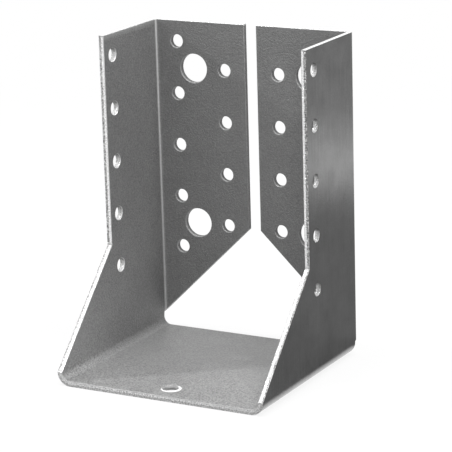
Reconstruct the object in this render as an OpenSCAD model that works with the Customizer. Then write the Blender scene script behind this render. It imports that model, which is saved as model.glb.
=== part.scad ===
// Joist hanger with its flanges turned inwards, folded from one steel sheet.
// X runs across the joist, +Y towards the header beam, Z up.
// The origin is at the middle of the underside.

/* [Joist] */
// Clear width between the cheeks
inner_width = 80; // [72:1:120]
// Clear height from the seat to the top edges
inner_height = 120; // [100:1:180]

/* [Sheet] */
// Thickness of the sheet
sheet = 2; // [1.5:0.1:2.5]
// Inner radius of the upright folds between cheek and flange
fold_radius = 1.2; // [0.8:0.1:2.5]
// Inner radius of the folds between cheek and seat
seat_radius = 3; // [1.5:0.1:4]

/* [Outline] */
// Width of the slit between the flanges
flange_gap = 5; // [4.5:0.1:10]
// Angle of the flanges' lower diagonal edges
flange_angle = 44; // [40:1:48]
// Height of the diagonal edges' lower ends above the seat folds
fold_relief = 0.3; // [0.2:0.1:2]
// Depth of the cheeks' upper part, from the flange backs
cheek_depth = 40; // [32:1:50]
// Depth of the seat, from the flange backs
seat_depth = 78; // [66:1:100]
// Angle of the cheeks' slanted front edges
slant_angle = 45; // [40:1:50]

/* [Nail holes] */
// Diameter of the nail holes
nail_hole = 5; // [4:0.1:6]
// Height step from one nail hole of a column to the next
nail_pitch = 20; // [16:0.5:26]
// Distance between the two nail columns of a flange
column_step = 20; // [17:0.5:22]
// Distance of the first nail row below the top edge
nail_top = 8; // [6:0.5:10]
// Least height of a nail hole's centre above a diagonal edge
nail_margin = 6; // [5:0.5:8]
// Distance of the cheek's nail column behind its front edge
cheek_edge = 6; // [5:0.5:10]

/* [Bolt holes] */
// Diameter of the bolt holes
bolt_hole = 11; // [9:0.1:12]
// Distance of the bolt holes from the outer nail column
bolt_step = 7; // [5:0.5:8]

/* [Seat hole] */
// Diameter of the hole in the seat
seat_hole = 6; // [4:0.1:8]
// Distance of the seat's hole behind its front edge
seat_edge = 9; // [7:0.5:14]

/* [Punched rims] */
// Width of the drawn-in rim on the punched side of each hole
rim = 0.3; // [0.1:0.05:0.5]

/* [Hidden] */
$fn = 96;
inner_half = inner_width / 2;
outer_half = inner_half + sheet;
height = inner_height + sheet;
fold_outer = fold_radius + sheet;
seat_outer = seat_radius + sheet;

// Planes along Y: flange backs, start of the upright folds, fronts of cheek and seat
back_y = seat_depth / 2;
fold_y = back_y - fold_outer;
cheek_y = back_y - cheek_depth;
front_y = back_y - seat_depth;

// The slanted cut runs out where the seat fold begins, the flange's cut just above it
slant_top = seat_outer + (seat_depth - cheek_depth) * tan(slant_angle);
function diagonal_z(x) = seat_outer + fold_relief + (outer_half - x) * tan(flange_angle);

// Nail columns sit evenly about the middle of the flange
flange_middle = (flange_gap / 2 + inner_half) / 2;
inner_column = flange_middle - column_step / 2;
outer_column = flange_middle + column_step / 2;
bolt_column = outer_column - bolt_step;

// Rows of the inner column lie half a step below those of the outer one
outer_first = height - nail_top;
inner_first = outer_first - nail_pitch / 2;
function rows(first, x) = floor((first - diagonal_z(x) - nail_margin) / nail_pitch) + 1;
outer_rows = rows(outer_first, outer_column);
inner_rows = rows(inner_first, inner_column);

lap = 1;
beyond = 1;

// U section across the joist: seat, two folds and two upright walls
module trough_area(half, radius, floor_z) {
    translate([-half + radius, floor_z])
        square([2 * (half - radius), radius + beyond]);
    for (side = [-1, 1])
        translate([side * (half - radius), floor_z + radius])
            circle(r = radius);
    translate([-half, floor_z + radius])
        square([2 * half, height - floor_z - radius + beyond]);
}

module trough_section() {
    difference() {
        trough_area(outer_half, seat_outer, 0);
        trough_area(inner_half, seat_radius, sheet);
    }
}

// Side view of cheek and seat, with the slanted front edge
module side_outline() {
    polygon([
        [fold_y, -beyond],
        [fold_y, height],
        [cheek_y, height],
        [cheek_y, slant_top],
        [front_y, seat_outer],
        [front_y, -beyond]
    ]);
}

module trough() {
    intersection() {
        translate([0, back_y, 0])
            rotate([90, 0, 0])
                linear_extrude(height = seat_depth + beyond)
                    trough_section();
        translate([-outer_half - beyond, 0, 0])
            rotate([90, 0, 90])
                linear_extrude(height = 2 * (outer_half + beyond))
                    side_outline();
    }
}

// Plan view of one flange, its upright fold and a lap into the cheek
module flange_section() {
    translate([flange_gap / 2, back_y - sheet])
        square([inner_half - fold_radius - flange_gap / 2, sheet]);
    translate([inner_half - fold_radius, fold_y])
        intersection() {
            difference() {
                circle(r = fold_outer);
                circle(r = fold_radius);
            }
            square(fold_outer + beyond);
        }
    translate([inner_half, fold_y - lap])
        square([sheet, lap]);
}

// Front view of one flange, with its lower diagonal edge
module flange_outline() {
    polygon([
        [0, height],
        [0, diagonal_z(0)],
        [outer_half + beyond, diagonal_z(outer_half + beyond)],
        [outer_half + beyond, height]
    ]);
}

module flange() {
    intersection() {
        linear_extrude(height = height + beyond)
            flange_section();
        translate([0, back_y + beyond, 0])
            rotate([90, 0, 0])
                linear_extrude(height = fold_outer + lap + 2 * beyond)
                    flange_outline();
    }
}

// Punch for one hole, entering the sheet at z = 0 from above
module punch(diameter) {
    translate([0, 0, -sheet - beyond])
        cylinder(d = diameter, h = sheet + 2 * beyond);
    translate([0, 0, -rim])
        cylinder(d1 = diameter, d2 = diameter + 2 * (rim + beyond), h = rim + beyond);
}

module flange_punch(diameter, x, z) {
    translate([x, back_y - sheet, z])
        rotate([90, 0, 0])
            punch(diameter);
}

module side_punches() {
    for (row = [0 : outer_rows - 1]) {
        flange_punch(nail_hole, outer_column, outer_first - row * nail_pitch);
        translate([inner_half, cheek_y + cheek_edge, outer_first - row * nail_pitch])
            rotate([0, -90, 0])
                punch(nail_hole);
    }
    for (row = [0 : inner_rows - 1])
        flange_punch(nail_hole, inner_column, inner_first - row * nail_pitch);
    for (row = [0, inner_rows - 1])
        flange_punch(bolt_hole, bolt_column, inner_first - row * nail_pitch);
}

module hanger() {
    color([0.60, 0.61, 0.62])
        difference() {
            union() {
                trough();
                for (side = [0, 1])
                    mirror([side, 0, 0])
                        flange();
            }
            for (side = [0, 1])
                mirror([side, 0, 0])
                    side_punches();
            translate([0, front_y + seat_edge, sheet])
                punch(seat_hole);
        }
}

hanger();
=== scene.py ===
import math
from types import SimpleNamespace

import bmesh
import bpy
from mathutils import Matrix, Vector


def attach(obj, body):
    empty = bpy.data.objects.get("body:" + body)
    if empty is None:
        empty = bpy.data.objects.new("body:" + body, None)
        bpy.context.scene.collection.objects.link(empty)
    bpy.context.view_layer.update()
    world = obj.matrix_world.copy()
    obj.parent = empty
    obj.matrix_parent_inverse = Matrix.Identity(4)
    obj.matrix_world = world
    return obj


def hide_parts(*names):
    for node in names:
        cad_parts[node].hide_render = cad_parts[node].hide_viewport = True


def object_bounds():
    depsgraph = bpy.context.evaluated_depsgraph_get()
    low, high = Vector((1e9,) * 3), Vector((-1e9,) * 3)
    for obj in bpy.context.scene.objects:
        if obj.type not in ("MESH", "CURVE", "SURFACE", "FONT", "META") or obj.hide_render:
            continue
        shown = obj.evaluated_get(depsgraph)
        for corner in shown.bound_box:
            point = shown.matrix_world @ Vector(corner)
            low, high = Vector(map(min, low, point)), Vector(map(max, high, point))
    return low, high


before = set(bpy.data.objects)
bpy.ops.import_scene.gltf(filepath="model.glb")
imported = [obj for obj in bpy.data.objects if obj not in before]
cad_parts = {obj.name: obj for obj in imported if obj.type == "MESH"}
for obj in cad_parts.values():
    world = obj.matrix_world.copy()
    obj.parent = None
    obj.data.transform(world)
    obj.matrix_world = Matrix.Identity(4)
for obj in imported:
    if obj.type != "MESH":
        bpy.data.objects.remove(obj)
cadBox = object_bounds()
scene = bpy.context.scene
scene.view_settings.view_transform = "Standard"
print("frame loaded")


# one shader socket: arithmetic on it adds Math nodes, node() adds anything else
class Wire:
    def __init__(self, tree, socket=None):
        self.tree = tree
        self.socket = socket

    def node(self, kind, settings=None, values=None, out=0):
        made = self.tree.nodes.new(kind)
        for name, value in (settings or {}).items():
            setattr(made, name, value)
        for name, value in (values or {}).items():
            if isinstance(value, Wire):
                self.tree.links.new(value.socket, made.inputs[name])
            else:
                made.inputs[name].default_value = value
        return Wire(self.tree, made.outputs[out] if len(made.outputs) else None)

    def __getitem__(self, out):
        return Wire(self.tree, self.socket.node.outputs[out])

    def math(self, operation, *numbers):
        return self.node("ShaderNodeMath", {"operation": operation}, dict(enumerate(numbers)))

    def __add__(self, other):
        return self.math("ADD", self, other)

    def __radd__(self, other):
        return self.math("ADD", other, self)

    def __sub__(self, other):
        return self.math("SUBTRACT", self, other)

    def __rsub__(self, other):
        return self.math("SUBTRACT", other, self)

    def __mul__(self, other):
        return self.math("MULTIPLY", self, other)

    def __rmul__(self, other):
        return self.math("MULTIPLY", other, self)

    def __truediv__(self, other):
        return self.math("DIVIDE", self, other)

    def __pow__(self, other):
        return self.math("POWER", self, other)

    def __abs__(self):
        return self.math("ABSOLUTE", self)

    def above(self, other):
        return self.math("MAXIMUM", self, other)

    def below(self, other):
        return self.math("MINIMUM", self, other)

    def fraction(self):
        return self.math("FRACT", self)

    # 0 under low, 1 over high, eased between
    def rise(self, low, high):
        values = {"Value": self, "From Min": low, "From Max": high}
        return self.node("ShaderNodeMapRange", {"interpolation_type": "SMOOTHSTEP"}, values)

    # the other way round
    def fall(self, low, high):
        return 1 - self.rise(low, high)


def startTree(owner):
    owner.use_nodes = True
    owner.node_tree.nodes.clear()
    return Wire(owner.node_tree)


def mix(first, second, share):
    return first + share * (second - first)


# noise about zero, size in metres
def noise(place, size, detail, rough):
    values = {"Vector": place, "Scale": 1 / size, "Detail": detail, "Roughness": rough}
    return place.node("ShaderNodeTexNoise", {"noise_dimensions": "3D"}, values, out="Fac") - 0.5


# the folded sheet, in metres
sheetForm = {
    "innerHalf": 0.040,
    "thickness": 0.002,
    "foldRadius": 0.0012,
    "seatRadius": 0.003,
    "rolledEdge": 0.00032,  # rounding on the punched side of every cut
    "rolledSteps": 3,
    "burrEdge": 0.00010,  # and on its far side
    "rimEdge": 0.00012,  # where a hole's drawn-in rim ends
    "softSteps": 2,
    "rimAngle": math.radians(28),
    "cutAngle": math.radians(60),
    "shadeAngle": math.radians(40),
    "flatAngle": math.radians(0.5),
    "mergeGap": 1e-6,
    "sideSlack": 0.01,  # depths as shares of the thickness
    "rimDepth": 0.2,
}
innerHalf, foldRadius, seatRadius = (sheetForm[name] for name in ("innerHalf", "foldRadius", "seatRadius"))
foldBack = cadBox[1].y - sheetForm["thickness"] - foldRadius  # where the upright folds begin
seatUp = sheetForm["thickness"] + seatRadius  # where the seat's folds end


def sheetDepth(place):
    # 0 on the joist's side of the sheet, 1 on its outer side
    def outside(a, b, radius):
        return math.hypot(max(a, 0), max(b, 0)) + min(max(a, b), 0) - radius

    plan = outside(abs(place.x) - innerHalf + foldRadius, place.y - foldBack, foldRadius)
    section = outside(abs(place.x) - innerHalf + seatRadius, seatUp - place.z, seatRadius)
    return max(plan, section) / sheetForm["thickness"]


def bevelEdges(mesh, chosen, width, steps):
    picked = [edge for edge in mesh.edges if edge.is_manifold and chosen(edge)]
    bmesh.ops.bevel(
        mesh, geom=picked, offset=width, offset_type="OFFSET", affect="EDGES", segments=steps,
        profile=0.5, material=-1, clamp_overlap=False, loop_slide=True,
    )
    return len(picked)


def makeSheet():
    mesh = bmesh.new()
    mesh.from_mesh(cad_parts["hanger"].data)
    bmesh.ops.remove_doubles(mesh, verts=mesh.verts, dist=sheetForm["mergeGap"])
    bmesh.ops.dissolve_limit(mesh, angle_limit=sheetForm["flatAngle"], verts=mesh.verts, edges=mesh.edges)
    cutAngle, slack = sheetForm["cutAngle"], sheetForm["sideSlack"]

    def lies(edge, low, high):
        return all(low < sheetDepth(v.co) < high for v in edge.verts)

    def rolled(edge):
        return edge.calc_face_angle() > cutAngle and lies(edge, -slack, slack)

    def burr(edge):
        return edge.calc_face_angle() > cutAngle and lies(edge, 1 - slack, 1 + slack)

    def rim(edge):
        slight = sheetForm["rimAngle"] < edge.calc_face_angle() < cutAngle
        return slight and lies(edge, -slack, sheetForm["rimDepth"])

    counts = [
        bevelEdges(mesh, rim, sheetForm["rimEdge"], sheetForm["softSteps"]),
        bevelEdges(mesh, rolled, sheetForm["rolledEdge"], sheetForm["rolledSteps"]),
        bevelEdges(mesh, burr, sheetForm["burrEdge"], sheetForm["softSteps"]),
    ]
    for face in mesh.faces:
        face.smooth = True
    for edge in mesh.edges:
        edge.smooth = not edge.is_manifold or edge.calc_face_angle() < sheetForm["shadeAngle"]
    data = bpy.data.meshes.new("joistHanger")
    mesh.to_mesh(data)
    mesh.free()
    piece = bpy.data.objects.new("joistHanger", data)
    scene.collection.objects.link(piece)
    weighted = piece.modifiers.new("evenShading", "WEIGHTED_NORMAL")
    weighted.keep_sharp = True
    print("sheet made, edges rounded:", counts, "faces:", len(data.polygons))
    return piece


# galvanised skin: pairs of numbers are the start and end of a change, in metres
zincSkin = {
    "outerFrom": (0.45, 0.55),  # share of the thickness
    "flangeFrom": (-0.0001, 0.0001),
    "innerTone": 0.28,
    "outerTone": 0.275,
    "innerMetal": 0.16,  # the joist's side is matt, the outer side was rolled smoother
    "outerMetal": 0.94,
    "innerRoughness": 0.48,
    "outerRoughness": 0.18,
    "grain": {"size": 0.0006, "detail": 3.0, "rough": 0.65},
    "grainContrast": 1.40,
    "seatGrain": 1.1,  # coarser at the front of the seat, finer on the flanges and outside
    "flangeGrain": 0.40,
    "outerGrain": 0.6,
    "seatTop": (0.003, 0.008),
    "seatFront": (-0.040, 0.012),
    "streak": {"size": 0.0005, "detail": 3.0, "rough": 0.5},
    "streakContrast": 0.28,
    "streakSqueeze": 0.025,
    "innerStreaks": 0.5,
    "outerStreaks": 1.0,
    "mottle": {"size": 0.009, "detail": 3.0, "rough": 0.55},
    "mottleContrast": 0.20,
    "outerMottle": 1.6,
    "foldPolish": 0.90,
    "polishBelow": 0.62,  # share of the painted highlight at the bottom of a fold
    "polishRise": (0.0, 0.120),
    "creaseFromCheek": (0.0, 0.70),  # shares of the fold's radius
    "creaseFromFlange": (0.45, 0.80),
    "creaseDepth": (0.1, 0.3),
    # painted light at the front and painted shade at the rear, low on the cheeks
    "wearUp": (0.012, 0.036),
    "wearInset": (0.0022, 0.0004),
    "wearBack": (-0.038, 0.020),
    "wornFront": 0.66,
    "dullCorner": 0.28,
    "rubTone": 0.16,
    "rubFrom": (0.978, 1.0),  # share of the height
    "roughGrain": 0.12,
    "roughStreak": 0.12,
    "creaseGloss": 0.15,
    "streakHeight": 0.25,
    "outerFlatness": 0.92,
    "bumpStrength": 0.8,
    "bumpDistance": 0.0004,
}


# where a point lies on the folded sheet, as shader values
def findSpot(tree):
    place = tree.node("ShaderNodeTexCoord", out="Object")
    axes = tree.node("ShaderNodeSeparateXYZ", values={"Vector": place})
    across, back, up = abs(axes["X"]), axes["Y"], axes["Z"]

    def outside(a, b, radius):
        corner = a.above(0) ** 2 + b.above(0) ** 2
        return corner ** 0.5 + a.above(b).below(0) - radius

    plan = outside(across - (innerHalf - foldRadius), back - foldBack, foldRadius)
    section = outside(across - (innerHalf - seatRadius), seatUp - up, seatRadius)
    depth = plan.above(section) / sheetForm["thickness"]
    outer = depth.rise(*zincSkin["outerFrom"])
    onFlange = (back - foldBack).rise(*zincSkin["flangeFrom"])
    return SimpleNamespace(
        place=place, side=axes["X"], across=across, back=back, up=up, depth=depth,
        outer=outer, onFlange=onFlange, onCheekInside=(1 - onFlange) * (1 - outer),
    )


def makeSkin(spot):
    # rolling streaks follow the sheet round the folds
    girth = mix(spot.back, innerHalf + foldBack - spot.across, spot.onFlange)
    run = (spot.side + spot.up) * zincSkin["streakSqueeze"]
    along = spot.place.node("ShaderNodeCombineXYZ", values={"X": girth, "Y": run, "Z": 0.0})
    streaks = noise(along, **zincSkin["streak"])
    grain = noise(spot.place, **zincSkin["grain"])
    mottle = noise(spot.place, **zincSkin["mottle"])

    seatFront = spot.up.fall(*zincSkin["seatTop"]) * spot.back.fall(*zincSkin["seatFront"])
    finer = spot.onFlange * (1 - spot.outer) * zincSkin["flangeGrain"] + spot.outer * zincSkin["outerGrain"]
    grainShare = (1 + seatFront * zincSkin["seatGrain"] - finer) * zincSkin["grainContrast"]
    streakShare = zincSkin["innerStreaks"] + spot.outer * zincSkin["outerStreaks"]
    streakShare = streakShare * zincSkin["streakContrast"]
    mottleShare = (1 + spot.outer * zincSkin["outerMottle"]) * zincSkin["mottleContrast"]
    tone = mix(zincSkin["innerTone"], zincSkin["outerTone"], spot.outer)
    tone = tone * (1 + grain * grainShare + streaks * streakShare + mottle * mottleShare)

    # painted highlight along the inside of the upright folds, fainter near the bottom, where the folds are
    # also glossier
    fromCheek = (spot.back - foldBack) / foldRadius
    fromFlange = (spot.across - (innerHalf - foldRadius)) / foldRadius
    crease = fromCheek.rise(*zincSkin["creaseFromCheek"]) * fromFlange.rise(*zincSkin["creaseFromFlange"])
    crease = crease * spot.depth.fall(*zincSkin["creaseDepth"])
    foldHighlight = zincSkin["foldPolish"] * mix(zincSkin["polishBelow"], 1, spot.up.rise(*zincSkin["polishRise"]))
    tone = tone + crease * (foldHighlight - zincSkin["innerTone"])

    # low on the cheeks, painted light towards the front and painted shade in the rear corner
    low = spot.up.fall(*zincSkin["wearUp"]) * spot.onCheekInside
    low = low * spot.across.rise(*(innerHalf - inset for inset in zincSkin["wearInset"]))
    paintedLightAndShade = spot.back.fall(*zincSkin["wearBack"]) * zincSkin["wornFront"] - zincSkin["dullCorner"]
    tone = tone * (1 + low * paintedLightAndShade)

    # just below the top the inside of the cheeks is made lighter
    topBand = (spot.up / cadBox[1].z).rise(*zincSkin["rubFrom"]) * spot.onCheekInside
    tone = tone + topBand * zincSkin["rubTone"]

    return SimpleNamespace(
        tone=tone, grain=grain, streaks=streaks, crease=crease,
        metal=mix(zincSkin["innerMetal"], zincSkin["outerMetal"], spot.outer),
        roughness=mix(zincSkin["innerRoughness"], zincSkin["outerRoughness"], spot.outer),
    )


# sheared edges: pairs of numbers are the start and end of a change
cutEdge = {
    "cutFrom": (0.12, 0.20),  # shares of the thickness
    "cutTo": (0.980, 0.990),
    "rolledFrom": (0.004, 0.04),
    "rolledTo": (0.14, 0.20),
    "rolledTone": 0.70,  # thin worn line where each cut begins
    "rolledMetal": 0.60,
    "rolledRoughness": 0.30,
    "rolledLoss": 0.6,  # less of that line on dull cuts and the lip
    "burnishTone": 0.92,  # smooth band
    "burnishMetal": 0.80,
    "burnishRoughness": 0.28,
    "burnishShare": 0.50,
    "fractureTone": 0.48,  # torn band
    "fractureMetal": 0.65,
    "fractureRoughness": 0.25,  # on top of the smooth band's
    "fractureSlope": 6.0,  # it leans towards the outer side
    "fractureEase": (-0.05, 0.05),
    "ragged": {"size": 0.00045, "detail": 2.0, "rough": 0.6},
    "raggedReach": 0.40,
    "speck": {"size": 0.0006, "detail": 2.0, "rough": 0.7},
    "speckHeight": 3,
    "speckLeast": 0.32,
    "burnishSpecks": 0.3,
    "fractureSpecks": 4.0,
    "slantSpecks": 1.2,
    "topInset": (0.0006, 0.0003),  # metres
    "slantReach": (0.0006, 0.0012),
    "slantShift": 0.18,  # slanted edges have a wider smooth band
    "slantCalm": 0.35,
    "bareShade": 0.14,  # top and slanted edges were cut cleaner and mirror less
    "bareMatt": 0.70,
    "lipUp": (0.0040, 0.0055),
    "lipTone": 0.85,  # front of the seat, torn all over and lightened with painted light from the floor
    "lipMetal": 0.30,
    "lipSpecks": 2.2,
    "cheekHole": 0.005,
    "cheekHoleReach": (0.0030, 0.0035),
    "cheekRow": 0.034,
    "cheekPitch": 0.020,
    "holeTone": 0.70,
    "holeMetal": 0.35,
    "holeSpecks": 1.6,
    "holeTop": (0.02, 0.10),  # shares of the pitch, over the middle of a hole
    "holeShade": 0.6,
    "flangeCutTone": 0.24,
    "dullMatt": 0.7,
    "seatHole": -0.030,
    "seatHoleReach": (1.0e-5, 1.6e-5),  # squared metres
    "seatHoleTone": 0.80,
    "ringShift": (0.0008, -0.0009),
    "ringReach": (1.2e-5, 1.6e-5),
    "ringTo": (0.10, 0.20),
    "ringTone": 0.95,  # painted highlight
}


# every cut has a worn line, a smooth band, then a torn band, and on the flanges it is all dull and darkened
# with painted shade
def makeCuts(spot):
    depth, back, up, top = spot.depth, spot.back, spot.up, cadBox[1].z
    topEdge = up.rise(*(top - inset for inset in cutEdge["topInset"]))
    onSlant = abs(up - back - (seatUp - cadBox[0].y)).fall(*cutEdge["slantReach"])
    bare = topEdge.above(onSlant)
    ragged = depth + noise(spot.place, **cutEdge["ragged"]) * cutEdge["raggedReach"]
    tear = ragged - onSlant * cutEdge["slantShift"] - cutEdge["burnishShare"]
    torn = tear.rise(*cutEdge["fractureEase"]) * (1 - topEdge.above(onSlant * cutEdge["slantCalm"]))
    speckle = noise(spot.place, **cutEdge["speck"])
    specks = cutEdge["burnishSpecks"] + torn * cutEdge["fractureSpecks"] + onSlant * cutEdge["slantSpecks"]
    tone = mix(cutEdge["burnishTone"], cutEdge["fractureTone"], torn)
    tone = tone * (1 + speckle * specks).above(cutEdge["speckLeast"]) * (1 - bare * cutEdge["bareShade"])
    metal = mix(cutEdge["burnishMetal"], cutEdge["fractureMetal"], torn) * (1 - bare * cutEdge["bareMatt"])

    # the seat's front lip, torn all over and lightened with painted light from the floor
    lip = up.fall(*cutEdge["lipUp"])
    tone = mix(tone, cutEdge["lipTone"] * (1 + speckle * cutEdge["lipSpecks"]), lip)
    metal = mix(metal, cutEdge["lipMetal"], lip)

    # walls of the cheeks' nail holes, shaded at the top of each
    inCheekHole = abs(back - cutEdge["cheekHole"]).fall(*cutEdge["cheekHoleReach"]) * (1 - topEdge)
    overRow = ((up - cutEdge["cheekRow"]) / cutEdge["cheekPitch"] + 0.5).fraction() - 0.5
    holeTone = cutEdge["holeTone"] * (1 + speckle * cutEdge["holeSpecks"])
    holeTone = holeTone * (1 - overRow.rise(*cutEdge["holeTop"]) * cutEdge["holeShade"])
    tone = mix(tone, holeTone, inCheekHole)
    metal = mix(metal, cutEdge["holeMetal"], inCheekHole)

    inSeatHole = (spot.side ** 2 + (back - cutEdge["seatHole"]) ** 2).fall(*cutEdge["seatHoleReach"])
    # flange cuts are matt and darkened with painted shade, the seat hole's wall is matt and light
    dull = spot.onFlange.above(inSeatHole) * (1 - topEdge)
    tone = mix(tone, mix(cutEdge["flangeCutTone"], cutEdge["seatHoleTone"], inSeatHole), dull)
    metal = metal * (1 - dull * cutEdge["dullMatt"])

    # painted highlight in a ring round the seat's hole, wider on one side
    ringSide, ringBack = cutEdge["ringShift"]
    ring = (spot.side - ringSide) ** 2 + (back - (cutEdge["seatHole"] + ringBack)) ** 2
    ring = ring.fall(*cutEdge["ringReach"]) * lip * depth.fall(*cutEdge["ringTo"])

    rolled = depth.rise(*cutEdge["rolledFrom"]) * depth.fall(*cutEdge["rolledTo"])
    rolled = rolled * (1 - dull * cutEdge["rolledLoss"]) * (1 - lip * cutEdge["rolledLoss"])
    return SimpleNamespace(
        tone=tone, metal=metal, ring=ring, rolled=rolled,
        share=depth.rise(*cutEdge["cutFrom"]) * depth.fall(*cutEdge["cutTo"]),
        height=torn * (speckle * cutEdge["speckHeight"] - tear.above(0) * cutEdge["fractureSlope"]),
        roughness=cutEdge["burnishRoughness"] + torn * cutEdge["fractureRoughness"],
    )


def makeZinc():
    material = bpy.data.materials.new("galvanised")
    tree = startTree(material)
    spot = findSpot(tree)
    skin, cuts = makeSkin(spot), makeCuts(spot)
    tone = mix(skin.tone, cuts.tone, cuts.share) + cuts.rolled * (cutEdge["rolledTone"] - skin.tone)
    # painted highlight round the seat's hole
    tone = mix(tone, cutEdge["ringTone"], cuts.ring)
    colour = tree.node("ShaderNodeCombineColor", values={"Red": tone, "Green": tone, "Blue": tone})
    metal = mix(skin.metal, cuts.metal, cuts.share) + cuts.rolled * (cutEdge["rolledMetal"] - skin.metal)

    texture = skin.grain * zincSkin["roughGrain"] + skin.streaks * zincSkin["roughStreak"]
    roughness = mix(skin.roughness, cuts.roughness, cuts.share) + texture
    roughness = roughness + cuts.rolled * (cutEdge["rolledRoughness"] - skin.roughness)
    roughness = roughness - skin.crease * zincSkin["creaseGloss"]
    relief = skin.grain + skin.streaks * zincSkin["streakHeight"]
    height = relief * (1 - spot.outer * zincSkin["outerFlatness"]) + cuts.share * cuts.height
    bumpSize = {"Strength": zincSkin["bumpStrength"], "Distance": zincSkin["bumpDistance"]}
    bump = tree.node("ShaderNodeBump", values={"Height": height, **bumpSize}, out="Normal")
    shader = tree.node(
        "ShaderNodeBsdfPrincipled",
        values={"Base Color": colour, "Metallic": metal, "Roughness": roughness, "Normal": bump},
    )
    tree.node("ShaderNodeOutputMaterial", values={"Surface": shader})
    print("galvanised finish made")
    return material


hanger = makeSheet()
hanger.data.materials.append(makeZinc())
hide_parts("hanger")
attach(hanger, "root")


# white paper floor and soft lamps, in metres and watts
studio = {
    "floorHalf": 4.0,
    "floorDrop": 0.0001,
    "paleTone": 0.90,  # as the camera sees the paper
    "bounceTone": 0.20,
    "nearGlow": 0.88,  # share of plain white close to the object, where its shadow lies
    "glowReach": (0.25, 0.55),
    "nearMirror": 0.02,  # the same share in reflections, a painted shadow on the right of the object
    "contactReach": (0.000, 0.005),
    "darkSide": (0.015, 0.042),
    "poolFrom": (0.285, 0.325),  # painted pool of light, a pale ring further out that the right cheek mirrors
    "poolTo": (0.395, 0.445),
    "poolFade": 0.72,
    "ambient": 0.28,
}
lamps = {
    "topBox": {"place": (0, 0, 1.30), "aim": (0, 0, 0.03), "size": 0.35, "power": 7.6},
    "leftBox": {"place": (-0.50, -0.20, 1.10), "aim": (0, 0, 0.03), "size": 0.4, "power": 1.5},
    "rightBox": {"place": (0.50, 0.0, 1.10), "aim": (0, 0, 0.03), "size": 0.4, "power": 7.0},
    "leftKey": {"place": (-0.98, -0.10, 0.66), "aim": (0, 0, 0.03), "size": 0.06, "power": 5.4},
    "rightFill": {"place": (0.55, -1.05, 0.25), "aim": (0, 0, 0.05), "size": 0.35, "power": 2.0},
}


def makePaper():
    material = bpy.data.materials.new("studioPaper")
    tree = startTree(material)
    place = tree.node("ShaderNodeTexCoord", out="Object")
    axes = tree.node("ShaderNodeSeparateXYZ", values={"Vector": place})
    away = (axes["X"] ** 2 + axes["Y"] ** 2) ** 0.5
    beside = (abs(axes["X"]) - cadBox[1].x).above(abs(axes["Y"]) - cadBox[1].y)
    seen = tree.node("ShaderNodeLightPath", out="Is Camera Ray")
    mirrored = seen["Is Glossy Ray"].above(seen["Is Transmission Ray"])
    glow = mix(studio["nearGlow"], 1, away.rise(*studio["glowReach"]))
    # reflections see a painted shadow on the floor right of the object, and a painted pool of light in a
    # ring further out and along the contact line
    pool = away.rise(*studio["poolFrom"]) * (1 - away.rise(*studio["poolTo"]) * studio["poolFade"])
    pool = pool.above(beside.fall(*studio["contactReach"])).above(axes["X"].fall(*studio["darkSide"]))
    mirror = mix(studio["nearMirror"], 1, pool)
    dull, pale = (
        tree.node("ShaderNodeBsdfDiffuse", values={"Color": (tone, tone, tone, 1)})
        for tone in (studio["bounceTone"], studio["paleTone"])
    )
    white = tree.node("ShaderNodeEmission", values={"Color": (1, 1, 1, 1), "Strength": 1.0})
    lit = tree.node("ShaderNodeMixShader", values={0: seen, 1: dull, 2: pale})
    paper = tree.node("ShaderNodeMixShader", values={0: seen * glow + mirrored * mirror, 1: lit, 2: white})
    tree.node("ShaderNodeOutputMaterial", values={"Surface": paper})
    return material


def makeFloor():
    mesh = bmesh.new()
    bmesh.ops.create_grid(mesh, x_segments=1, y_segments=1, size=studio["floorHalf"])
    bmesh.ops.translate(mesh, verts=mesh.verts, vec=(0, 0, -studio["floorDrop"]))
    data = bpy.data.meshes.new("studioFloor")
    mesh.to_mesh(data)
    mesh.free()
    data.materials.append(makePaper())
    floor = bpy.data.objects.new("studioFloor", data)
    scene.collection.objects.link(floor)
    print("floor made")


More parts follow.
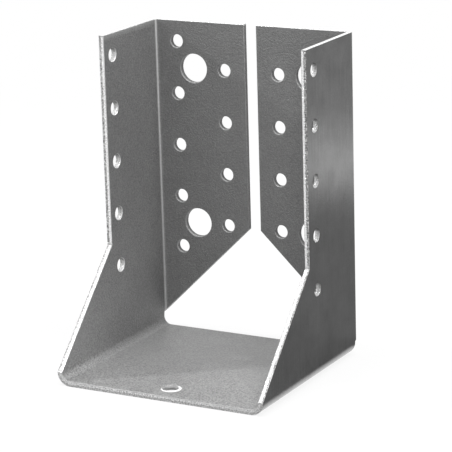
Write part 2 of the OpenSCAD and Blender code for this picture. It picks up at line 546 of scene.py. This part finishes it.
def makeLight():
    scene.world = bpy.data.worlds.new("studioAir")
    tree = startTree(scene.world)
    seen = tree.node("ShaderNodeLightPath", out="Is Camera Ray")
    shown = seen.above(seen["Is Glossy Ray"]).above(seen["Is Transmission Ray"])
    strength = mix(studio["ambient"], 1, shown)
    air = tree.node("ShaderNodeBackground", values={"Color": (1, 1, 1, 1), "Strength": strength})
    tree.node("ShaderNodeOutputWorld", values={"Surface": air})
    for name, lamp in lamps.items():
        light = bpy.data.lights.new(name, "AREA")
        light.shape = "SQUARE"
        light.size = lamp["size"]
        light.energy = lamp["power"]
        holder = bpy.data.objects.new(name, light)
        holder.location = lamp["place"]
        beam = Vector(lamp["aim"]) - Vector(lamp["place"])
        holder.rotation_euler = beam.to_track_quat("-Z", "Y").to_euler()
        scene.collection.objects.link(holder)
    print("lamps set:", len(lamps))


# viewpoint of the picture, angles in degrees, lengths in metres
viewpoint = {
    "azimuth": 28.76,
    "elevation": 15.08,
    "roll": -1.64,
    "distance": 0.82472,
    "focalPixels": 2279.44,
    "framePixels": 452,
    "slideRight": -0.00765,
    "slideUp": 0.00518,
    "target": (0, -0.001, 0.060),
    "sensor": 36.0,  # millimetres
    "nearest": 0.01,
    "farthest": 50,
}


def makeCamera():
    turn, rise, roll = (math.radians(viewpoint[name]) for name in ("azimuth", "elevation", "roll"))
    back = Vector((math.sin(turn) * math.cos(rise), -math.cos(turn) * math.cos(rise), math.sin(rise)))
    level = Vector((math.cos(turn), math.sin(turn), 0))
    plumb = back.cross(level)
    right = math.cos(roll) * level + math.sin(roll) * plumb
    top = math.cos(roll) * plumb - math.sin(roll) * level
    eye = Vector(viewpoint["target"]) + viewpoint["distance"] * back
    eye = eye - viewpoint["slideRight"] * right - viewpoint["slideUp"] * top
    lens = bpy.data.cameras.new("pictureCamera")
    lens.sensor_width = viewpoint["sensor"]
    lens.lens = viewpoint["focalPixels"] / viewpoint["framePixels"] * viewpoint["sensor"]
    lens.clip_start, lens.clip_end = viewpoint["nearest"], viewpoint["farthest"]
    camera = bpy.data.objects.new("pictureCamera", lens)
    camera.matrix_world = Matrix.Translation(eye) @ Matrix((right, top, back)).transposed().to_4x4()
    scene.collection.objects.link(camera)
    scene.camera = camera
    print("camera set")


makeFloor()
makeLight()
makeCamera()
